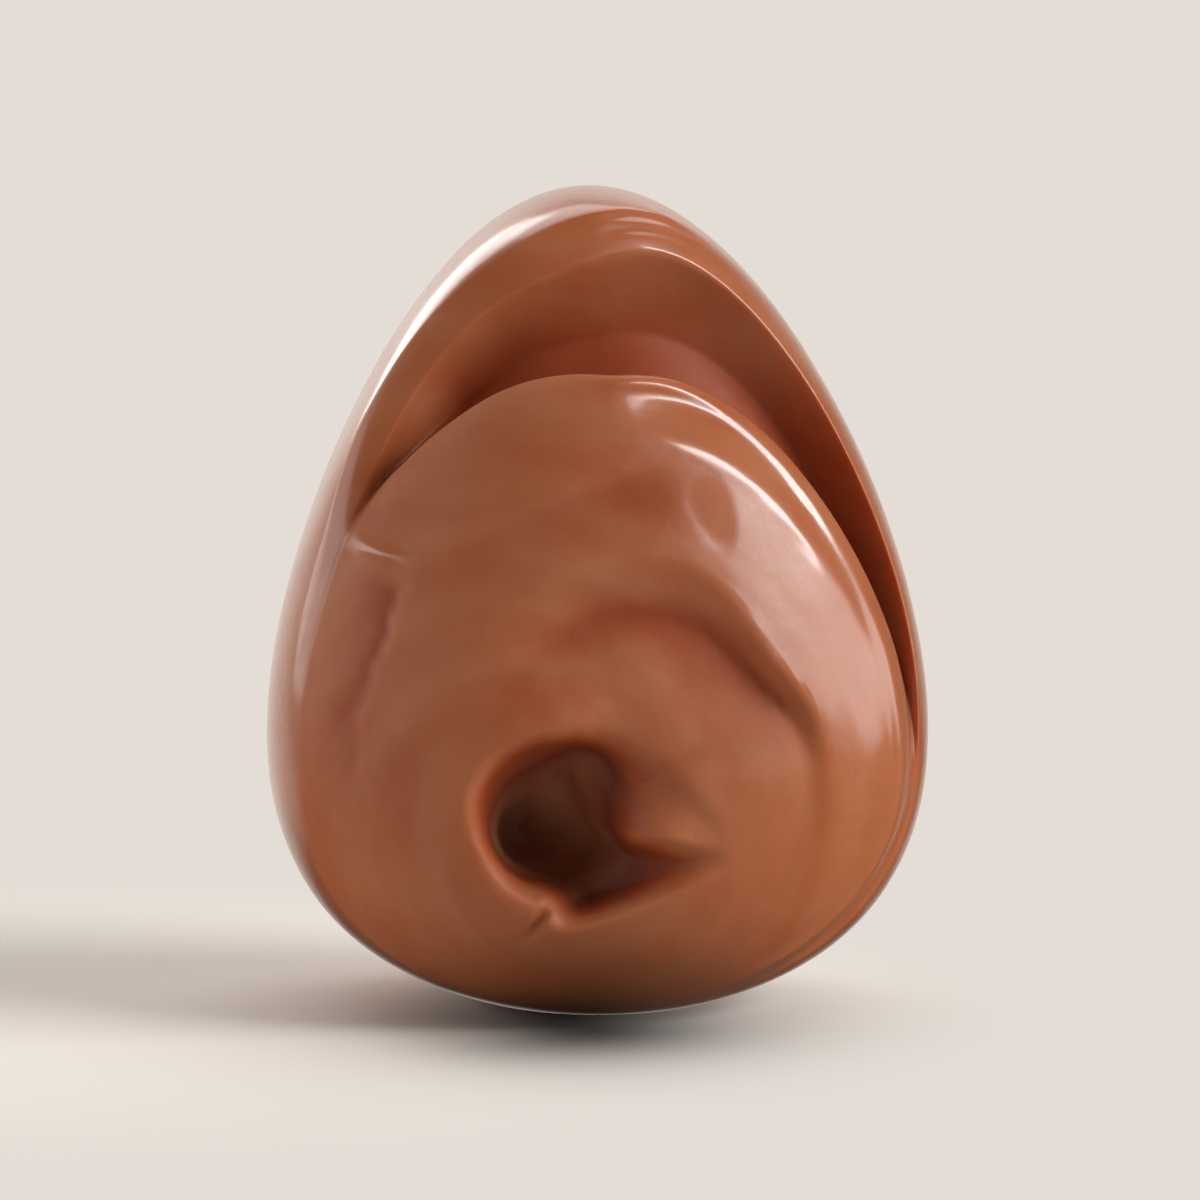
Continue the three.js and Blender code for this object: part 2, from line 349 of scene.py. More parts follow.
edge = shoulder - EDGE_INSET.wide + ease(side, EDGE_INSET.start, EDGE_INSET.end) * EDGE_INSET.narrowing
waist = bell(turn(around, CREST_WAIST.at), CREST_WAIST.spread) * CREST_WAIST.narrowing
from_lip = ease(side, CREST.start, CREST.end) * (CREST.high - CREST.low_left) + CREST.low_left
crest = limit(lip + from_lip - waist, 0, CREST.outermost)
frame_nodes("Edge and crest")

# %% Deal the rows out between stops
EYE_ROWS_END = 1.7
EDGE_LEAD = 2.5
DROP_SPAN = (-0.04, 0.11)
LIP_SPAN = (-1.0, 1.5)
OUTLINE_ROW = 90

eye_row = math_node("DEGREES", math_node("ARCSINE", limit(eye_reach * EYE_ROWS_END / run)))
row_stops = [
    (eye_row, ROWS.eye),
    (edge - EDGE_LEAD, ROWS.dome),
    (shoulder + gap * DROP_SPAN[0], ROWS.roll),
    (shoulder + gap * DROP_SPAN[1], ROWS.drop),
    (lip + LIP_SPAN[0], ROWS.vault),
    (lip + LIP_SPAN[1], ROWS.lip),
    (crest, ROWS.face),
    (OUTLINE_ROW, ROWS.ridge),
    (BACK_ROW, ROWS.back),
]
row = 0
previous_stop = 0
rows_done = 0
for stop, rows in row_stops:
    progress = limit((row_share * row_count - rows_done) / rows)
    row = (stop - previous_stop) * progress + row
    previous_stop = stop
    rows_done += rows
frame_nodes("Row stops")

# %% [markdown]
# ## The bare body
# With no relief, the body is an egg whose section is slightly fuller than an ellipse, and a little deeper in
# front than behind. The relief that follows is pressed into its front and fades out before the outline, so
# it can't change the size of the praline.

# %% The plain rounded body
FULLNESS = 2.25
RELIEF_END = (82, 89)
FRONT_DEPTH = 12.6
BACK_DEPTH = 12.4
front_depth = size("Front Depth", FRONT_DEPTH)
back_depth = size("Back Depth", BACK_DEPTH)

out = math_node("ABSOLUTE", sine(row))
bare_x = eye_x + run_x * out
bare_z = eye_z + run_z * out
section = at_least(1 - out ** FULLNESS, 0) ** (1 / FULLNESS)
bare_forward = either(row - OUTLINE_ROW, front_depth, back_depth * -1) * section
on_front = 1 - ease(row, *RELIEF_END)
frame_nodes("Bare body")

# %% [markdown]
# ## The trough
# Behind the shoulder the chocolate drops almost straight down, then vaults forward to the lip. A boolean cut
# would leave a hard edge and a mesh of odd triangles there. As a depth that depends on how far a point is
# across the gap, the trough keeps the sphere's even rows. The lip is rounded over by a tenth of a millimetre.

# %% Drop and vault
DROP = SimpleNamespace(start=-0.02, end=0.09, closed_extra=0.7)
VAULT = SimpleNamespace(start=0.05, power=1.7)
LIP_ROUND = 0.12
LARGEST_EXPONENT = 30
trough_depth = size("Trough Depth", 4.4)


def softly_above(value, softness):
    """The value where it is above zero and nothing below, with a rounded corner."""
    share = limit(value / softness, -LARGEST_EXPONENT, LARGEST_EXPONENT)
    return math_node("LOGARITHM", math_node("EXPONENT", share) + 1, math.e) * softness


across_gap = (row - shoulder) / gap
drop = ease(across_gap, DROP.start, (1 - openness) * DROP.closed_extra + DROP.end)
vault = 1 - at_least((across_gap - VAULT.start) / (1 - VAULT.start), 0) ** VAULT.power
trough = softly_above(trough_depth * vault, LIP_ROUND) * openness * drop
frame_nodes("Trough")

# %% [markdown]
# ## The hood's flat rim
# Outside the lip, the hood does not fall back as the egg does. It keeps a nearly flat face out to a crest and
# turns away from there, and the white band of light on the left lies on that turn. The rim is the bare body
# raised most of the way back to the level of the lip.

# %% A face that stays level from the lip to the crest
HOOD_RIM = SimpleNamespace(end_row=88, start=-125, full=-60, fade=8, end=45)
TIP_EASE = SimpleNamespace(share=0.25, at=5, spread=28)
rim_flatness = size("Rim Flatness", 0.8)

lip_section = (1 - sine(lip) ** FULLNESS) ** (1 / FULLNESS)
fallen_back = at_least(front_depth * lip_section - bare_forward, 0)
tip_share = 1 - bell(side - TIP_EASE.at, TIP_EASE.spread) * TIP_EASE.share
past_crest = limit((row - crest) / (HOOD_RIM.end_row - crest))
ridge = fallen_back * rim_flatness * tip_share * window(side, HOOD_RIM) * (1 - past_crest)
frame_nodes("Hood's rim")

# %% [markdown]
# ## The dome's edge, bead and crease
# On the right the dome has an edge, and beyond it a band tilts away to a thin bead that runs along the
# shoulder. The edge and the bead carry the two white lines of the photograph. Where there is no bead, the
# shoulder rolls over softly. At the lower right the trough has closed, and its line runs on as a crease.

# %% Relief along the shoulder
EDGE_BAND = SimpleNamespace(tilt=0.7, crispness=0.1, start=10, full=42, fade=75, end=118)
SHOULDER_ROLL = SimpleNamespace(reach=1.1, depth=0.4, power=3)
BEAD = SimpleNamespace(height=0.32, at=-0.32, width=0.34, start=-5, full=28, fade=150, end=170)
CREASE = SimpleNamespace(depth=0.55, at=0.15, width=0.22, start=80, full=100, fade=140, end=165)

past_edge = run * (sine(row) - sine(edge))
past_shoulder = run * (sine(row) - sine(shoulder))
band = softly_above(past_edge, EDGE_BAND.crispness) * window(side, EDGE_BAND) * EDGE_BAND.tilt * (1 - drop)
on_bead = window(side, BEAD)
rolled = limit(past_shoulder / SHOULDER_ROLL.reach + 1) ** SHOULDER_ROLL.power
shoulder_roll = rolled * openness * (1 - on_bead) * SHOULDER_ROLL.depth
bead = bell(past_shoulder - BEAD.at, BEAD.width) * BEAD.height
crease = bell(past_shoulder - CREASE.at, CREASE.width) * window(side, CREASE) * CREASE.depth
roll = band + crease + shoulder_roll - bead * on_bead
frame_nodes("Edge, bead and crease")

# %% [markdown]
# ## Streaks near the tip
# Two fine streaks catch the light on the hood's face, just right of the tip. They could be painted, but a
# painted highlight would not move as the praline is turned. Two shallow steps bend the real reflection.

# %% Two low steps in the hood's face
STREAKS = SimpleNamespace(from_lip=(9, 4.7), half_width=0.9, start=2, full=11, fade=24, end=34)

steps = sum(ease(row - lip - offset, -STREAKS.half_width, STREAKS.half_width) for offset in STREAKS.from_lip)
streaks = steps * window(side, STREAKS) * size("Streak Step", 0.18)
frame_nodes("Streaks")

# %% [markdown]
# ## Grooves along arcs
# The swirl on the dome is a few soft grooves along arcs, as in thick cream that a spoon has turned. Sculpting
# would give them too, but not the same way twice. One function makes a groove from an arc's centre, radius
# and end bearings, with its own width on the inner and the outer side. A side may be crisp, which means that
# it rises in a straight slope, and the line may wobble.

# %% One function for every groove
WOBBLES = ((14, 1.0), (37, 0.5), (83, 0.3))
FAR = 100
PLAIN_ARC = SimpleNamespace(widens=(0, 1), widening=0, crisp="", wobble=0)


def variant(arc, **changes):
    """The same arc with some of its sizes changed."""
    return SimpleNamespace(**{**vars(arc), **changes})


def arc_place(arc):
    """How far a point lies outside an arc of the front, and its bearing from the arc's centre."""
    offset_x = bare_x - arc.x
    offset_z = bare_z - arc.z
    middle = (arc.start + arc.end) / 2
    angle = turn(bearing(offset_z, offset_x), middle) + middle
    return hypotenuse(offset_x, offset_z) - arc.radius, angle


def groove(arc, place):
    """A groove of unit depth along an arc of the front."""
    offset, angle = place
    ends = ease(angle - arc.start, 0, arc.fades[0]) * ease(arc.end - angle, 0, arc.fades[1])
    for waves, share in WOBBLES:
        offset = offset + sine(angle * waves) * (share * arc.wobble)
    inner_offset = limit(offset, -FAR, 0)
    inside = 1 - limit(inner_offset / -arc.inner) if arc.crisp == "inside" else bell(inner_offset, arc.inner)
    outer = ease(angle, *arc.widens) * arc.widening + arc.outer
    outside = 1 - limit(offset / outer) if arc.crisp == "outside" else bell(at_least(offset, 0), outer)
    return inside * outside * ends


print(f"a groove's line wobbles in {len(WOBBLES)} waves")

# %% [markdown]
# ## The big whorl, its brow and the fold
# The largest groove curls round the eye from above. It sinks slowly from inside and ends at a clear wall,
# and the chocolate above that wall stands up a little as a brow. The brow's line is flattened at the upper
# right, where the photograph shows it nearly straight. A fainter fold crosses the upper left of the dome.

# %% Whorl, brow and fold
WHORL = variant(PLAIN_ARC, x=1.9, z=11.0, radius=6.75, start=-3, end=165, fades=(42, 60),
                inner=4.6, outer=0.85, widens=(35, 85), widening=1.5, crisp="outside")
FOLD = variant(PLAIN_ARC, x=8, z=-4, radius=27.4, start=98, end=125, fades=(9, 9), inner=1.7, outer=0.6)
BROW_FLAT = SimpleNamespace(inset=0.6, at=45, spread=28)
BROW = SimpleNamespace(reach=1.6, start=-45, full=0, fade=55, end=100)

from_whorl, whorl_bearing = arc_place(WHORL)
from_whorl = from_whorl + bell(whorl_bearing - BROW_FLAT.at, BROW_FLAT.spread) * BROW_FLAT.inset
whorl = groove(WHORL, (from_whorl, whorl_bearing)) * size("Whorl Depth", 0.95)
fold = groove(FOLD, arc_place(FOLD)) * size("Fold Depth", 0.5)

past_brow = at_least(from_whorl - WHORL.outer, 0)
brow = limit(from_whorl / WHORL.outer) * math_node("EXPONENT", past_brow / -BROW.reach)
brow = brow * window(whorl_bearing, BROW) * size("Brow Height", 0.3)
frame_nodes("Whorl, brow and fold")

# %% [markdown]
# ## The groove on the left flank
# A soft groove runs down the left flank, and its upper end has a short rough seam, as if two folds had not
# quite joined. All three forms use one arc: the groove itself, the seam as a narrow variant of it, and a
# wider zone that only the painted shade in the colour and the gloss will use.

# %% Flank groove, seam and a zone for painted shade
FLANK = variant(PLAIN_ARC, x=4, z=11.6, radius=13.8, start=147, end=188, fades=(4, 16),
                inner=0.4, outer=1.0, crisp="inside", wobble=0.14)
SEAM = variant(FLANK, start=149, end=168, fades=(3, 9), inner=0.14, outer=0.18, crisp="")
FLANK_ZONE = variant(FLANK, start=148, end=186, outer=1.1, crisp="")

from_flank = arc_place(FLANK)
flank = groove(FLANK, from_flank) * size("Flank Depth", 0.3)
seam = groove(SEAM, from_flank) * size("Seam Depth", 0.09)
flank_zone = groove(FLANK_ZONE, from_flank)
frame_nodes("Flank")

# %% [markdown]
# ## Dent, nick and scuffs
# The praline has been handled. There is a flat dent in the band of light on the dome, a small raised nick
# where the flank meets the hood, and a few scuffs on the right. Each is a tilted mark, so one helper turns a
# point into distances along and across a mark.

# %% Marks of handling
DENT = SimpleNamespace(x=4.75, z=21.85, tilt=-66, half_length=1.7, half_width=0.95, rim=(0.7, 1.1), taper=0.3)
NICK = SimpleNamespace(x=-9.06, z=20.1, tilt=-13, length=1.1, width=0.35)
SCUFF = SimpleNamespace(length=0.4, width=0.22, depth=0.06)
SCUFF_PLACES = ((2.9, 11.5, -50), (3.75, 12.15, -55), (4.15, 12.9, -50),
                (10.3, 9.0, 0), (10.7, 8.1, 0), (11.4, 9.75, -35))


def along_and_across(mark):
    """Distances along and across a tilted mark on the front."""
    tilt = math.radians(mark.tilt)
    offset_x = bare_x - mark.x
    offset_z = bare_z - mark.z
    along = offset_x * math.cos(tilt) + offset_z * math.sin(tilt)
    across = offset_z * math.cos(tilt) - offset_x * math.sin(tilt)
    return along, across


dent_along, dent_across = along_and_across(DENT)
dent_share = dent_along / DENT.half_length
dent_reach = hypotenuse(dent_share, dent_across / DENT.half_width / (1 - dent_share * DENT.taper))
in_dent = 1 - ease(dent_reach, *DENT.rim)
dent = in_dent * (DENT.half_width - dent_across) * size("Dent Slope", 0.04)
nick_along, nick_across = along_and_across(NICK)
on_nick = bell(nick_along, NICK.length) * bell(nick_across, NICK.width)
nick = on_nick * size("Nick Height", 0.36)
scuffs = 0
for x, z, tilt in SCUFF_PLACES:
    scuff_along, scuff_across = along_and_across(SimpleNamespace(x=x, z=z, tilt=tilt))
    scuffs = bell(scuff_along, SCUFF.length) * bell(scuff_across, SCUFF.width) * SCUFF.depth + scuffs
frame_nodes("Dent, nick and scuffs")

# %% [markdown]
# ## The gutter that runs into the eye
# A wedge-shaped gutter runs into the eye from the right, with a steep wall below and a softer one above. Two
# curved lines bound it, and its depth fades towards its pointed end. On its lower left a short slanting cut
# leaves the eye. The gutter stops where the eye's funnel takes over, so that the two depths don't add up.

# %% Funnel, gutter and cut
GUTTER = SimpleNamespace(x=-1.5, length=6.9, taper=0.8, mouth=(-2.2, -0.2))
GUTTER_LOW = SimpleNamespace(z=5.15, rise=2.65, power=1.25, wall=(-0.45, 0.8))
GUTTER_TOP = SimpleNamespace(z=8.75, fall=0.95, wall=(-0.8, 0.5), opening=3.0, opens=(0.05, 0.4))
CUT = SimpleNamespace(x=-1.3, z=6.6, tilt=-130, width=0.24, depth=0.4, start=(0.3, 1.5), stop=(1.8, 3.3))

from_eye = run * out
funnel = math_node("EXPONENT", (from_eye / eye_reach) ** steepness * -1)
along_gutter = limit((bare_x - GUTTER.x) / GUTTER.length)
low_line = along_gutter ** GUTTER_LOW.power * GUTTER_LOW.rise + GUTTER_LOW.z
near_eye = 1 - ease(along_gutter, *GUTTER_TOP.opens)
top_line = GUTTER_TOP.z - along_gutter * along_gutter * GUTTER_TOP.fall + near_eye * GUTTER_TOP.opening
between = ease(bare_z - low_line, *GUTTER_LOW.wall) * (1 - ease(bare_z - top_line, *GUTTER_TOP.wall))
gutter = (1 - along_gutter) ** GUTTER.taper * ease(bare_x, *GUTTER.mouth) * between * (1 - funnel)
gutter = gutter * size("Gutter Depth", 2.8)

cut_along, cut_across = along_and_across(CUT)
cut = bell(cut_across, CUT.width) * ease(cut_along, *CUT.start) * (1 - ease(cut_along, *CUT.stop)) * CUT.depth
frame_nodes("Funnel, gutter and cut")

# %% [markdown]
# ## The dish, the channel and the tongue
# The eye lies in a shallow oval dish, open to the right. Above the gutter, a low channel leads in along the
# end of the last whorl, and between the two a tongue of chocolate reaches into the eye. The tongue is simply
# where the funnel sinks a little less.

# %% The rest of the eye
DISH = SimpleNamespace(x=-1.5, z=10.0, half_width=3.8, half_height=3.1, wall=(0.72, 1.04), fade=(-0.5, 3))
CHANNEL = SimpleNamespace(top=13.2, bend=0.095, bend_from=-1.2, top_wall=(-0.2, 0.9), floor=(0.7, 3.2),
                          start=(-1.9, 0.9), end_x=5.3, length=6.0, taper=0.8)
TONGUE = SimpleNamespace(low=8.35, rise=2.15, start_x=0.7, bend=1.5, width=0.9, lift=0.12, start=(-0.6, 1.0))
eye_depth = size("Eye Depth", 7.5)

dish_reach = hypotenuse((bare_x - DISH.x) / DISH.half_width, (bare_z - DISH.z) / DISH.half_height)
in_dish = (1 - ease(dish_reach, *DISH.wall)) * (1 - ease(bare_x, *DISH.fade))
dish = in_dish * size("Dish Depth", 0.75)

below_top = CHANNEL.top - (bare_x - CHANNEL.bend_from) ** 2 * CHANNEL.bend - bare_z
along_channel = limit((CHANNEL.end_x - bare_x) / CHANNEL.length) ** CHANNEL.taper
channel = (1 - ease(below_top, *CHANNEL.floor)) * ease(below_top, *CHANNEL.top_wall)
channel = channel * (along_channel * ease(bare_x, *CHANNEL.start)) * (1 - funnel)
channel = channel * size("Channel Depth", 0.75)

tongue_line = math_node("EXPONENT", (bare_x - TONGUE.start_x) / -TONGUE.bend) * TONGUE.rise + TONGUE.low
tongue = bell(bare_z - tongue_line, TONGUE.width) * ease(bare_x, *TONGUE.start) * TONGUE.lift
eye = eye_depth * funnel * (1 - tongue) * on_front
frame_nodes("Dish, channel and tongue")

# %% [markdown]
# ## A low swirl over the dome
# Between the grooves the dome is not quite smooth: very low ripples wind into the eye. A noise gives them if
# it is read in coordinates that turn as they near the eye. Its seed is fixed in its fourth coordinate, so
# every run gives the same ripples. The material will use the same noise for paler streaks, partly painted
# sheen.

# %% A noise that winds into the eye
SWIRL = SimpleNamespace(per_mm=0.5, girth=0.9, twist=16, scale=1.0, seed=2.0)
NOISE_MIDDLE = 0.5
DOME_END = (-2, 0)


def combine(x, y, z):
    """Join three amounts to a vector."""
    node = form.nodes.new("ShaderNodeCombineXYZ")
    for name, value in zip("XYZ", (x, y, z)):
        feed(node, name, value)
    return node.outputs[0]


def noise(place, scale, seed):
    """A smooth noise between -0.5 and 0.5 with a fixed seed."""
    node = form.nodes.new("ShaderNodeTexNoise")
    node.noise_dimensions = "4D"
    form.links.new(place, node.inputs["Vector"])
    feed(node, "W", seed)
    feed(node, "Scale", scale)
    return Amount(node.outputs[0]) - NOISE_MIDDLE


swirl_angle = around + from_eye * SWIRL.twist
swirl_x = cosine(swirl_angle) * SWIRL.girth
swirl_z = sine(swirl_angle) * SWIRL.girth
swirl_noise = noise(combine(from_eye * SWIRL.per_mm, swirl_x, swirl_z), SWIRL.scale, SWIRL.seed)
swirl = swirl_noise * size("Swirl Height", 0.18)
on_dome = 1 - ease(row - shoulder, *DOME_END)
frame_nodes("Swirl")

# %% [markdown]
# ## Placing the skin
# Now every point of the sphere gets its place, in metres and centred as the solid is. Most relief only moves
# a point forwards or back. Two forms also move it sideways: the eye leans to the lower left as it goes in,
# and the trough reaches in behind the shoulder, so that the drop's wall is hidden from the front.

# %% Add up the relief
EYE_LEAN = SimpleNamespace(left=0.22, down=0.14)
UNDERCUT = 0.28
centre_x = box_high.x - WIDTH * MM / 2
centre_y = box_high.y - BACK_DEPTH * MM

relief = trough - ridge + streaks + roll
relief = relief + whorl + fold + flank + seam - brow + dent - nick + scuffs
relief = relief + gutter + channel + cut + dish
relief = relief - swirl * on_dome
forward = bare_forward - relief * on_front - eye
undercut = trough * on_front * UNDERCUT / run
skin_x = bare_x - eye * EYE_LEAN.left - run_x * undercut
skin_z = bare_z - eye * EYE_LEAN.down - run_z * undercut
skin = combine(skin_x * MM + centre_x, forward * -MM + centre_y, skin_z * MM)
frame_nodes("Relief")

# %% [markdown]
# ## What the material needs to know
# Light that bounces about in a fold of chocolate comes out darker and redder, and a surface that has been
# touched or has flowed is duller than one that lay against a polished mould. The colour paints that darker,
# redder shade into the folds. A shader can't tell where the folds are, but the tree can. So each point keeps
# two shares as attributes: how deep it lies in a hollow, which sets the painted shade, and how polished it
# is.

# %% Hollows and polish
# Weights of the painted shade: how much each fold darkens and reddens the colour where light would leave
# shade.
HOLLOW_SHADE_WEIGHTS = SimpleNamespace(trough=0.55, whorl=2.2, whorl_reach=1.7, fold=2.0, flank=1.7, seam=3, cut=2.5,
                       gutter=2.0, dish=2.8, most=3.6)
SATIN = SimpleNamespace(brow=(-0.2, 0.7), left=(-1, 4.5), dish=(1.8, 2.4), lip=(-1, 1), shoulder=(0, 3))

folds = trough * HOLLOW_SHADE_WEIGHTS.trough + whorl * bell(from_whorl, HOLLOW_SHADE_WEIGHTS.whorl_reach) * HOLLOW_SHADE_WEIGHTS.whorl + fold * HOLLOW_SHADE_WEIGHTS.fold
folds = folds + flank_zone * HOLLOW_SHADE_WEIGHTS.flank + seam * HOLLOW_SHADE_WEIGHTS.seam + cut * HOLLOW_SHADE_WEIGHTS.cut
folds = folds + (gutter + channel) * HOLLOW_SHADE_WEIGHTS.gutter + in_dish * HOLLOW_SHADE_WEIGHTS.dish
hollow = limit((limit(folds, 0, HOLLOW_SHADE_WEIGHTS.most) + eye) * on_front / eye_depth)

inside_whorl = 1 - ease(from_whorl, *SATIN.brow)
on_left = 1 - ease(bare_x, *SATIN.left)
round_eye = 1 - ease(dish_reach, *SATIN.dish)
dull = inside_whorl
for patch in (on_left, in_dent, round_eye, flank_zone, limit(gutter)):
    dull = at_least(dull, patch)
near_dome = 1 - ease(row - shoulder, *SATIN.shoulder)
in_trough = drop * (1 - ease(row - lip, *SATIN.lip)) * openness
polish = 1 - at_least(dull * near_dome * (1 - on_nick), in_trough) * on_front
frame_nodes("Hollows and polish")

# %% [markdown]
# ## Moving the points
# Set Position takes the sphere's points to the skin. The attributes are stored first, because they are worked
# out from the sphere's own points, which are gone once those have moved.

# %% Store the shares and move the sphere's points
def chain(node_type, geometry, **sockets):
    """Add a geometry node after another and link its inputs."""
    node = form.nodes.new(node_type)
    form.links.new(geometry, node.inputs[0])
    for name, socket in sockets.items():
        form.links.new(socket, node.inputs[name])
    return node


shares = {"hollow": hollow, "polish": polish, "swirl": swirl_noise}
kept = sphere
for name, amount in shares.items():
    kept = chain("GeometryNodeStoreNamedAttribute", kept.outputs[0], Value=amount.socket)
    kept.inputs["Name"].default_value = name
placed = chain("GeometryNodeSetPosition", kept.outputs[0], Position=skin)
frame_nodes("Placed skin")

# %% [markdown]
# ## Unevenness and the foot
# A moulded sweet is never perfect: its gloss wavers. A slow noise moves the skin along its normal by a few
# hundredths of a millimetre, which is too little to see as a shape and just enough to bend a highlight. Then
# everything below the foot's plane is pressed flat onto it, and the praline stands on the floor.

# %% A slow waver
WAVER = SimpleNamespace(scale=0.28, seed=4.0)
waver_height = size("Waver", 0.08)


def scaled(vector, factor):
    """A vector made longer or shorter."""
    node = form.nodes.new("ShaderNodeVectorMath")
    node.operation = "SCALE"
    form.links.new(vector, node.inputs[0])
    feed(node, "Scale", factor)
    return node.outputs[0]


position = form.nodes.new("GeometryNodeInputPosition").outputs[0]
normal = form.nodes.new("GeometryNodeInputNormal").outputs[0]
waver = noise(scaled(position, 1 / MM), WAVER.scale, WAVER.seed) * waver_height * MM
uneven = chain("GeometryNodeSetPosition", placed.outputs[0], Offset=scaled(normal, waver))
frame_nodes("Waver")

# %% The flat foot
apart = form.nodes.new("ShaderNodeSeparateXYZ")
form.links.new(position, apart.inputs[0])
at_x, at_y, at_z = (Amount(socket) for socket in apart.outputs)
foot_plane = foot_cut * MM
standing = combine(at_x, at_y, at_least(at_z, foot_plane) - foot_plane)
footed = chain("GeometryNodeSetPosition", uneven.outputs[0], Position=standing)
frame_nodes("Foot")

# %% [markdown]
# ## From a tree to a mesh
# The tree ends by shading the skin smooth, realizing instances and setting the material. A modifier on an
# empty mesh runs it. The result is copied to a plain mesh and the modifier is taken off again, so what is
# left is ordinary geometry that any program can read.

# %% Finish the tree
chocolate = bpy.data.materials.new("milk_chocolate")
smooth = chain("GeometryNodeSetShadeSmooth", footed.outputs[0])
realized = chain("GeometryNodeRealizeInstances", smooth.outputs[0])
finished = chain("GeometryNodeSetMaterial", realized.outputs[0])
finished.inputs["Material"].default_value = chocolate
form.links.new(finished.outputs[0], form.nodes.new("NodeGroupOutput").inputs["Geometry"])
frame_nodes("Finish")

# %% Run it and keep the mesh
praline = bpy.data.objects.new("praline_skin", bpy.data.meshes.new("praline_start"))
bpy.context.scene.collection.objects.link(praline)
modifier = praline.modifiers.new("form", "NODES")
modifier.node_group = form
for identifier, value in size_values.items():
    modifier[identifier] = value
depsgraph = bpy.context.evaluated_depsgraph_get()
skin_mesh = bpy.data.meshes.new_from_object(praline.evaluated_get(depsgraph), depsgraph=depsgraph)
praline.modifiers.remove(modifier)
praline.data = skin_mesh
skin_mesh.name = "praline_skin"
skin_mesh.materials.clear()
skin_mesh.materials.append(chocolate)
skin_mesh.polygons.foreach_set("material_index", [0] * len(skin_mesh.polygons))
triangles = sum(len(face.vertices) - 2 for face in skin_mesh.polygons)
print(f"the skin has {triangles} triangles")

# %% [markdown]
# ## The colour of milk chocolate
# Milk chocolate is a warm brown. Shade is painted into its hollows, redder and then darker, and deep in the
# eye the colour turns paler again as painted light. In the open it has paler patches and streaks, partly
# random mottling and partly painted sheen. A colour ramp reads how deep a point lies in a hollow. The
# patches mix a coarse noise with the swirl that the tree kept, so that they wind with the whorls.

# %% Helpers for the chocolate's nodes
def colour(red, green, blue):
    """A colour that is given as a screen shows it, turned into the linear values that shaders use."""
    def linear(value):
        share = value / 255
        return share / 12.92 if share <= 0.04045 else ((share + 0.055) / 1.055) ** 2.4
    return (linear(red), linear(green), linear(blue), 1)


chocolate.use_nodes = True
chocolate_nodes = chocolate.node_tree.nodes
chocolate_links = chocolate.node_tree.links
shader = chocolate_nodes["Principled BSDF"]
chocolate_place = chocolate_nodes.new("ShaderNodeTexCoord").outputs["Object"]


def attribute(name):
    """A share that the tree has stored on the skin."""
    reader = chocolate_nodes.new("ShaderNodeAttribute")
    reader.attribute_name = name
    return Amount(reader.outputs["Fac"])


def grain(per_mm, detail):
    """A noise between -0.5 and 0.5 that stays with the chocolate."""
    node = chocolate_nodes.new("ShaderNodeTexNoise")
    chocolate_links.new(chocolate_place, node.inputs["Vector"])
    feed(node, "Scale", per_mm / MM)
    feed(node, "Detail", detail)
    return Amount(node.outputs["Fac"]) - NOISE_MIDDLE


def mix_colours(tree, share, first, second):
    """Mix two colours, each a socket or a plain colour."""
    node = tree.nodes.new("ShaderNodeMix")
    node.data_type = "RGBA"
    feed(node, "Factor", share)
    inputs = {socket.identifier: socket for socket in node.inputs}
    for identifier, value in (("A_Color", first), ("B_Color", second)):
        if isinstance(value, bpy.types.NodeSocket):
            tree.links.new(value, inputs[identifier])
        else:
            inputs[identifier].default_value = value
    return next(socket for socket in node.outputs if socket.type == "RGBA")


print("the material is called", chocolate.name)

# %% Brown in the open, painted shade in the hollows, paler patches partly of painted sheen
MILK = colour(166, 89, 49)
# Painted shade for the hollows: redder, then darker.
RED_HOLLOW_SHADE = colour(153, 65, 24)
DARK_HOLLOW_SHADE = colour(108, 45, 24)
# Painted light: deep in the eye the colour turns paler again, which lifts the eye's dark core.
EYE_PAINTED_LIGHT = colour(175, 115, 85)
# Paler patches: partly random mottling, partly painted sheen.
PALE_MILK_AND_SHEEN = colour(182, 120, 84)
HOLLOW_SHADE_STOPS = ((0.25, RED_HOLLOW_SHADE), (0.5, DARK_HOLLOW_SHADE))
PATCHES = SimpleNamespace(swirl=1.6, grain=1.2, base=0.35, per_mm=0.22, detail=3, share=0.7)
PATCHES_END = (0.1, 0.35)

# The ramp paints shade into the hollows by their depth.
in_hollow = attribute("hollow")
shade_ramp = chocolate_nodes.new("ShaderNodeValToRGB")
feed(shade_ramp, "Fac", in_hollow)
shade_ramp.color_ramp.elements[0].color = MILK
shade_ramp.color_ramp.elements[1].color = EYE_PAINTED_LIGHT
for place, shade in HOLLOW_SHADE_STOPS:
    shade_ramp.color_ramp.elements.new(place).color = shade
# Mottling and painted sheen, wound with the swirl and kept out of the hollows.
mottle_and_sheen = attribute("swirl") * PATCHES.swirl + grain(PATCHES.per_mm, PATCHES.detail) * PATCHES.grain
patchy = limit(mottle_and_sheen + PATCHES.base) * (1 - ease(in_hollow, *PATCHES_END)) * PATCHES.share
skin_colour = mix_colours(chocolate.node_tree, patchy, shade_ramp.outputs["Color"], PALE_MILK_AND_SHEEN)
chocolate_links.new(skin_colour, shader.inputs["Base Color"])
print(f"the ramp has {len(shade_ramp.color_ramp.elements)} browns")

# %% [markdown]
# ## The sheen
# Tempered chocolate has a satin gloss, and its cocoa butter makes polished places look lacquered. So the base
# is fairly rough, and a coat lies over it only where the tree has stored polish. Light goes about a
# millimetre into chocolate, which subsurface scattering shows in the thin lip. A fine grain breaks up the
# reflections. It is too small for geometry, so a bump does it.

# %% Satin with polished places
SHEEN = SimpleNamespace(rough=0.58, polished=0.22, uneven=0.16, coat=0.9)
FINE_GRAIN = SimpleNamespace(per_mm=1.6, detail=4)

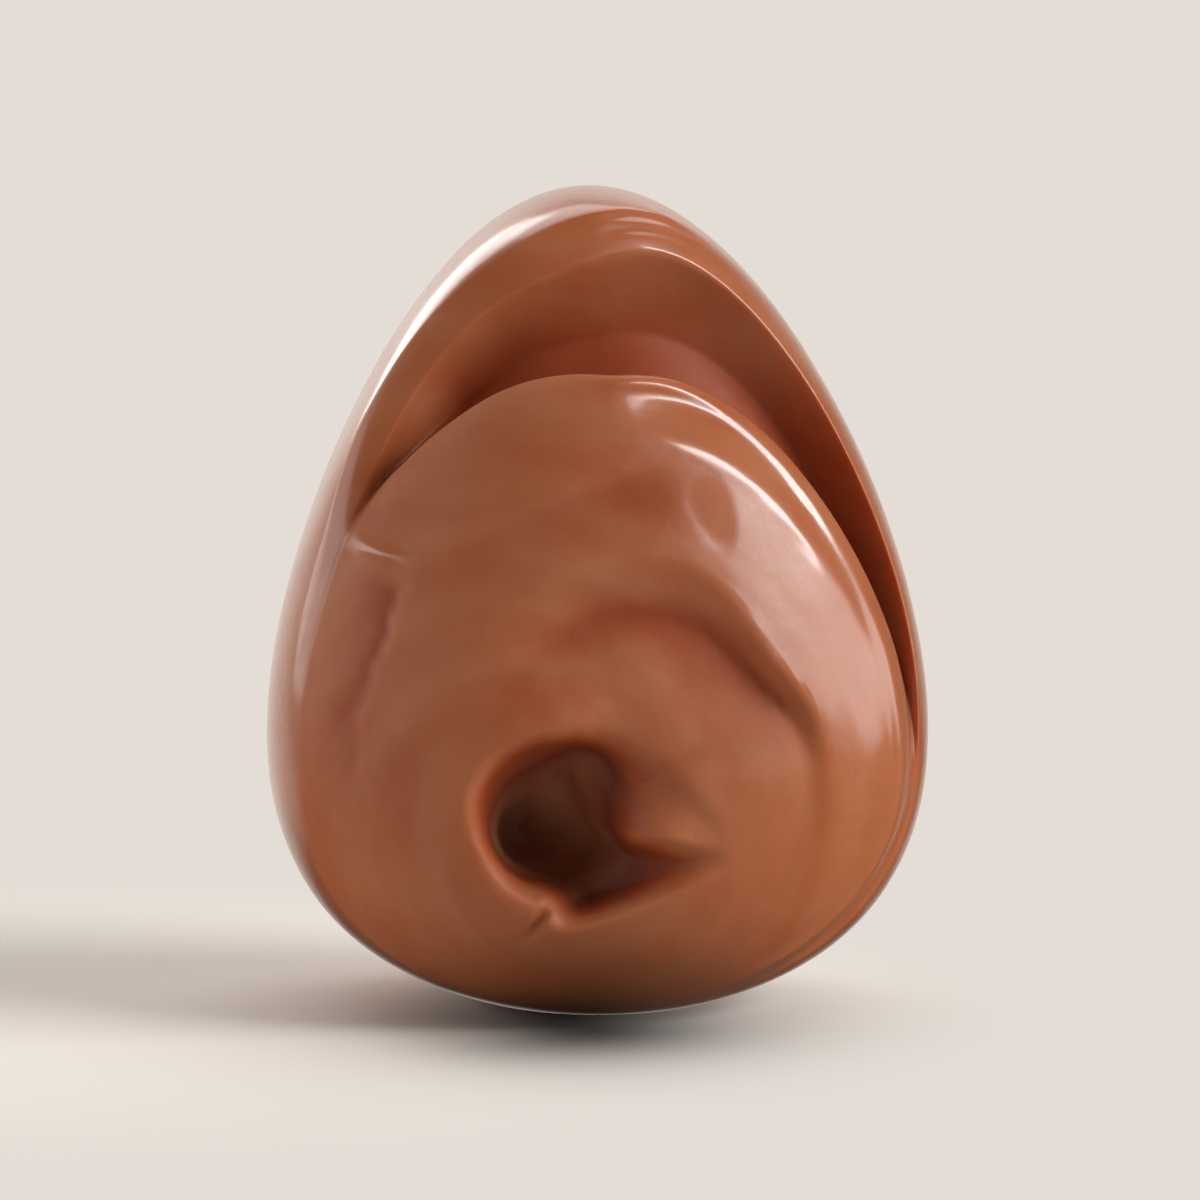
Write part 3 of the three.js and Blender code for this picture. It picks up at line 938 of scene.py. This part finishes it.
polished = attribute("polish")
fine = grain(FINE_GRAIN.per_mm, FINE_GRAIN.detail)
feed(shader, "Roughness", SHEEN.rough - polished * SHEEN.polished + fine * SHEEN.uneven)
feed(shader, "Coat Weight", polished * SHEEN.coat)
shader.inputs["Coat Roughness"].default_value = 0.16
shader.inputs["IOR"].default_value = 1.5
shader.inputs["Specular IOR Level"].default_value = 0.3
shader.inputs["Subsurface Weight"].default_value = 0.35
shader.inputs["Subsurface Radius"].default_value = (1.0, 0.35, 0.15)
shader.inputs["Subsurface Scale"].default_value = 1.2 * MM
print("roughness from", SHEEN.rough, "down to", SHEEN.rough - SHEEN.polished)

# %% A fine grain
COARSE_GRAIN = SimpleNamespace(per_mm=0.5, detail=2, share=2)

bump = chocolate_nodes.new("ShaderNodeBump")
bump.inputs["Strength"].default_value = 0.45
bump.inputs["Distance"].default_value = 0.05 * MM
coarse = grain(COARSE_GRAIN.per_mm, COARSE_GRAIN.detail)
feed(bump, "Height", fine + coarse * COARSE_GRAIN.share)
chocolate_links.new(bump.outputs["Normal"], shader.inputs["Normal"])
print("the chocolate has", len(chocolate_nodes), "nodes")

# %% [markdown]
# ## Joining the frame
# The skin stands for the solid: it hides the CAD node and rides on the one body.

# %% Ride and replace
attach(praline, "root")
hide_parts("praline")
print(praline.name, "rides on the root body")

# %% [markdown]
# ## The floor
# A plain pale floor. Close to the praline it is matt and takes the soft shadow. Further out it glows evenly,
# so that the background stays one flat tone up to the edges of the picture. Right beneath the praline a
# nearly black shadow, darker than soft light leaves, is painted into the matt part. Reflections don't see the
# floor, because its glow would light the praline's underside.

# %% A round floor with its own finish
PALE = colour(228, 221, 213)
# Colour, place and size of the shadow painted beneath the praline.
PAINTED_SHADOW_GREY = colour(30, 29, 28)
CONTACT = SimpleNamespace(x=0.5, y=-9, wide=6.5, deep=8)
FLOOR_RADIUS = 6.0
FLOOR_SIDES = 96

bpy.ops.mesh.primitive_circle_add(vertices=FLOOR_SIDES, radius=FLOOR_RADIUS, fill_type="NGON")
floor = bpy.context.object
floor.name = "floor"
floor.visible_glossy = False
floor_finish = bpy.data.materials.new("pale_floor")
floor_finish.use_nodes = True
floor.data.materials.append(floor_finish)
floor_nodes = floor_finish.node_tree.nodes
floor_links = floor_finish.node_tree.links
floor_point = floor_nodes.new("ShaderNodeSeparateXYZ")
floor_links.new(floor_nodes.new("ShaderNodeTexCoord").outputs["Object"], floor_point.inputs[0])
floor_x = Amount(floor_point.outputs["X"]) / MM
floor_y = Amount(floor_point.outputs["Y"]) / MM

# A painted shadow: the matt colour turns dark grey right beneath the praline.
under = bell(hypotenuse((floor_x - CONTACT.x) / CONTACT.wide, (floor_y - CONTACT.y) / CONTACT.deep), 1)
matt = floor_nodes["Principled BSDF"]
floor_tone = mix_colours(floor_finish.node_tree, under, PALE, PAINTED_SHADOW_GREY)
floor_links.new(floor_tone, matt.inputs["Base Color"])
matt.inputs["Roughness"].default_value = 1.0
matt.inputs["Specular IOR Level"].default_value = 0.0
print(f"the floor is {FLOOR_RADIUS:.0f} m in radius")

# %% Matt near the praline, glowing further out
MATT = SimpleNamespace(x=-22, y=-3, full=20, end=42)

glow = floor_nodes.new("ShaderNodeEmission")
glow.inputs["Color"].default_value = PALE
far_away = ease(hypotenuse(floor_x - MATT.x, floor_y - MATT.y), MATT.full, MATT.end)
blend = floor_nodes.new("ShaderNodeMixShader")
feed(blend, 0, far_away)
floor_links.new(matt.outputs[0], blend.inputs[1])
floor_links.new(glow.outputs[0], blend.inputs[2])
floor_links.new(blend.outputs[0], floor_nodes["Material Output"].inputs["Surface"])
print(f"it is matt for {MATT.full} mm and glows from {MATT.end} mm")

# %% [markdown]
# ## Light
# Gloss shows the lights themselves, so each soft box is placed where the praline mirrors it to the camera.
# The key, a long low box on the right, makes the broad sheen on the dome, and a weak haze widens it to the
# left. The strip, narrow and bright, draws the white lines along the dome's edge and bead. One box above and
# behind lights the hood's top, a fill keeps the left side open, and the rim light whitens the hood's crest.

# %% A soft box that faces the praline
LIGHT_DISTANCE = 2.5
AIM_HEIGHT = 17 * MM


def direction(azimuth, elevation):
    """A unit vector, with azimuth to the right of the front and elevation above the floor."""
    flat = math.cos(math.radians(elevation))
    turned = math.radians(azimuth)
    return Vector((flat * math.sin(turned), -flat * math.cos(turned), math.sin(math.radians(elevation))))


def soft_box(name, azimuth, elevation, wide, tall, brightness, roll=0):
    """A panel that faces the praline. Its power follows from how bright it should look."""
    lamp = bpy.data.lights.new(name, "AREA")
    lamp.shape = "RECTANGLE"
    lamp.size = wide
    lamp.size_y = tall
    lamp.energy = brightness * math.pi * wide * tall
    box = bpy.data.objects.new(name, lamp)
    heading = direction(azimuth, elevation)
    facing_in = (-heading).to_track_quat("-Z", "Y") @ Quaternion((0, 0, 1), math.radians(roll))
    box.location = heading * LIGHT_DISTANCE + Vector((0, 0, AIM_HEIGHT))
    box.rotation_euler = facing_in.to_euler()
    bpy.context.scene.collection.objects.link(box)
    print(f"{name}: {lamp.energy:.0f} W")


soft_box("key", azimuth=82, elevation=14, wide=3.0, tall=0.7, brightness=3.2, roll=-22)
soft_box("haze", azimuth=45, elevation=20, wide=2.2, tall=1.5, brightness=0.4, roll=-19)
soft_box("strip", azimuth=73, elevation=30.5, wide=1.9, tall=0.5, brightness=16.0, roll=-22)
soft_box("back", azimuth=180, elevation=60, wide=2.6, tall=2.0, brightness=2.0)
soft_box("fill", azimuth=-86, elevation=14, wide=3.6, tall=1.3, brightness=2.3)
soft_box("rim", azimuth=-148, elevation=28, wide=1.0, tall=1.7, brightness=3.2)

# %% [markdown]
# ## The room around
# The chocolate also mirrors the room. A pale backdrop stands behind it on the left, which makes that side of
# its outline pale, and the rest of the room is dim. The world's own background can hold both: its strength
# depends on the direction that is looked in.

# %% A dim room with a pale backdrop
FRONT_GLOW = 0.05
BACK_GLOW = 1.0
BEHIND = (0.2, 0.8)
RIGHT_END = (0.05, 0.55)
HORIZON = SimpleNamespace(start=-0.38, full=-0.15, fade=0.4, end=0.7)

world = bpy.data.worlds.new("studio")
bpy.context.scene.world = world
world.use_nodes = True
world_nodes = world.node_tree.nodes
looking = world_nodes.new("ShaderNodeSeparateXYZ")
world.node_tree.links.new(world_nodes.new("ShaderNodeTexCoord").outputs["Generated"], looking.inputs[0])
look_x, look_y, look_z = (Amount(socket) for socket in looking.outputs)
backdrop = ease(look_y, *BEHIND) * (1 - ease(look_x, *RIGHT_END)) * window(look_z, HORIZON)
background = world_nodes["Background"]
feed(background, "Strength", backdrop * (BACK_GLOW - FRONT_GLOW) + FRONT_GLOW)
background.inputs["Color"].default_value = PALE
bpy.context.scene.view_settings.view_transform = "Standard"
print("the room glows from", FRONT_GLOW, "to", BACK_GLOW)

# %% [markdown]
# ## Camera
# The photograph looks at the praline from a little above, with a long lens. In it, one millimetre of the
# praline takes about 24 pixels of 1200, and that sets the lens for a camera at arm's length.

# %% A long lens from the front
CAMERA_ELEVATION = 6
CAMERA_DISTANCE = 0.40
PHOTO_WIDTH = 1200
PIXELS_PER_MM = 24.05
AIM = SimpleNamespace(x=0.1, z=16.75)

camera_data = bpy.data.cameras.new("camera")
camera = bpy.data.objects.new("camera", camera_data)
camera_data.lens = camera_data.sensor_width * CAMERA_DISTANCE / (PHOTO_WIDTH / PIXELS_PER_MM * MM)
aim = Vector((AIM.x * MM, 0, AIM.z * MM))
heading = direction(0, CAMERA_ELEVATION)
camera.location = aim + heading * CAMERA_DISTANCE
camera.rotation_euler = (-heading).to_track_quat("-Z", "Y").to_euler()
bpy.context.scene.collection.objects.link(camera)
bpy.context.scene.camera = camera
print(f"the lens is {camera_data.lens:.0f} mm long")
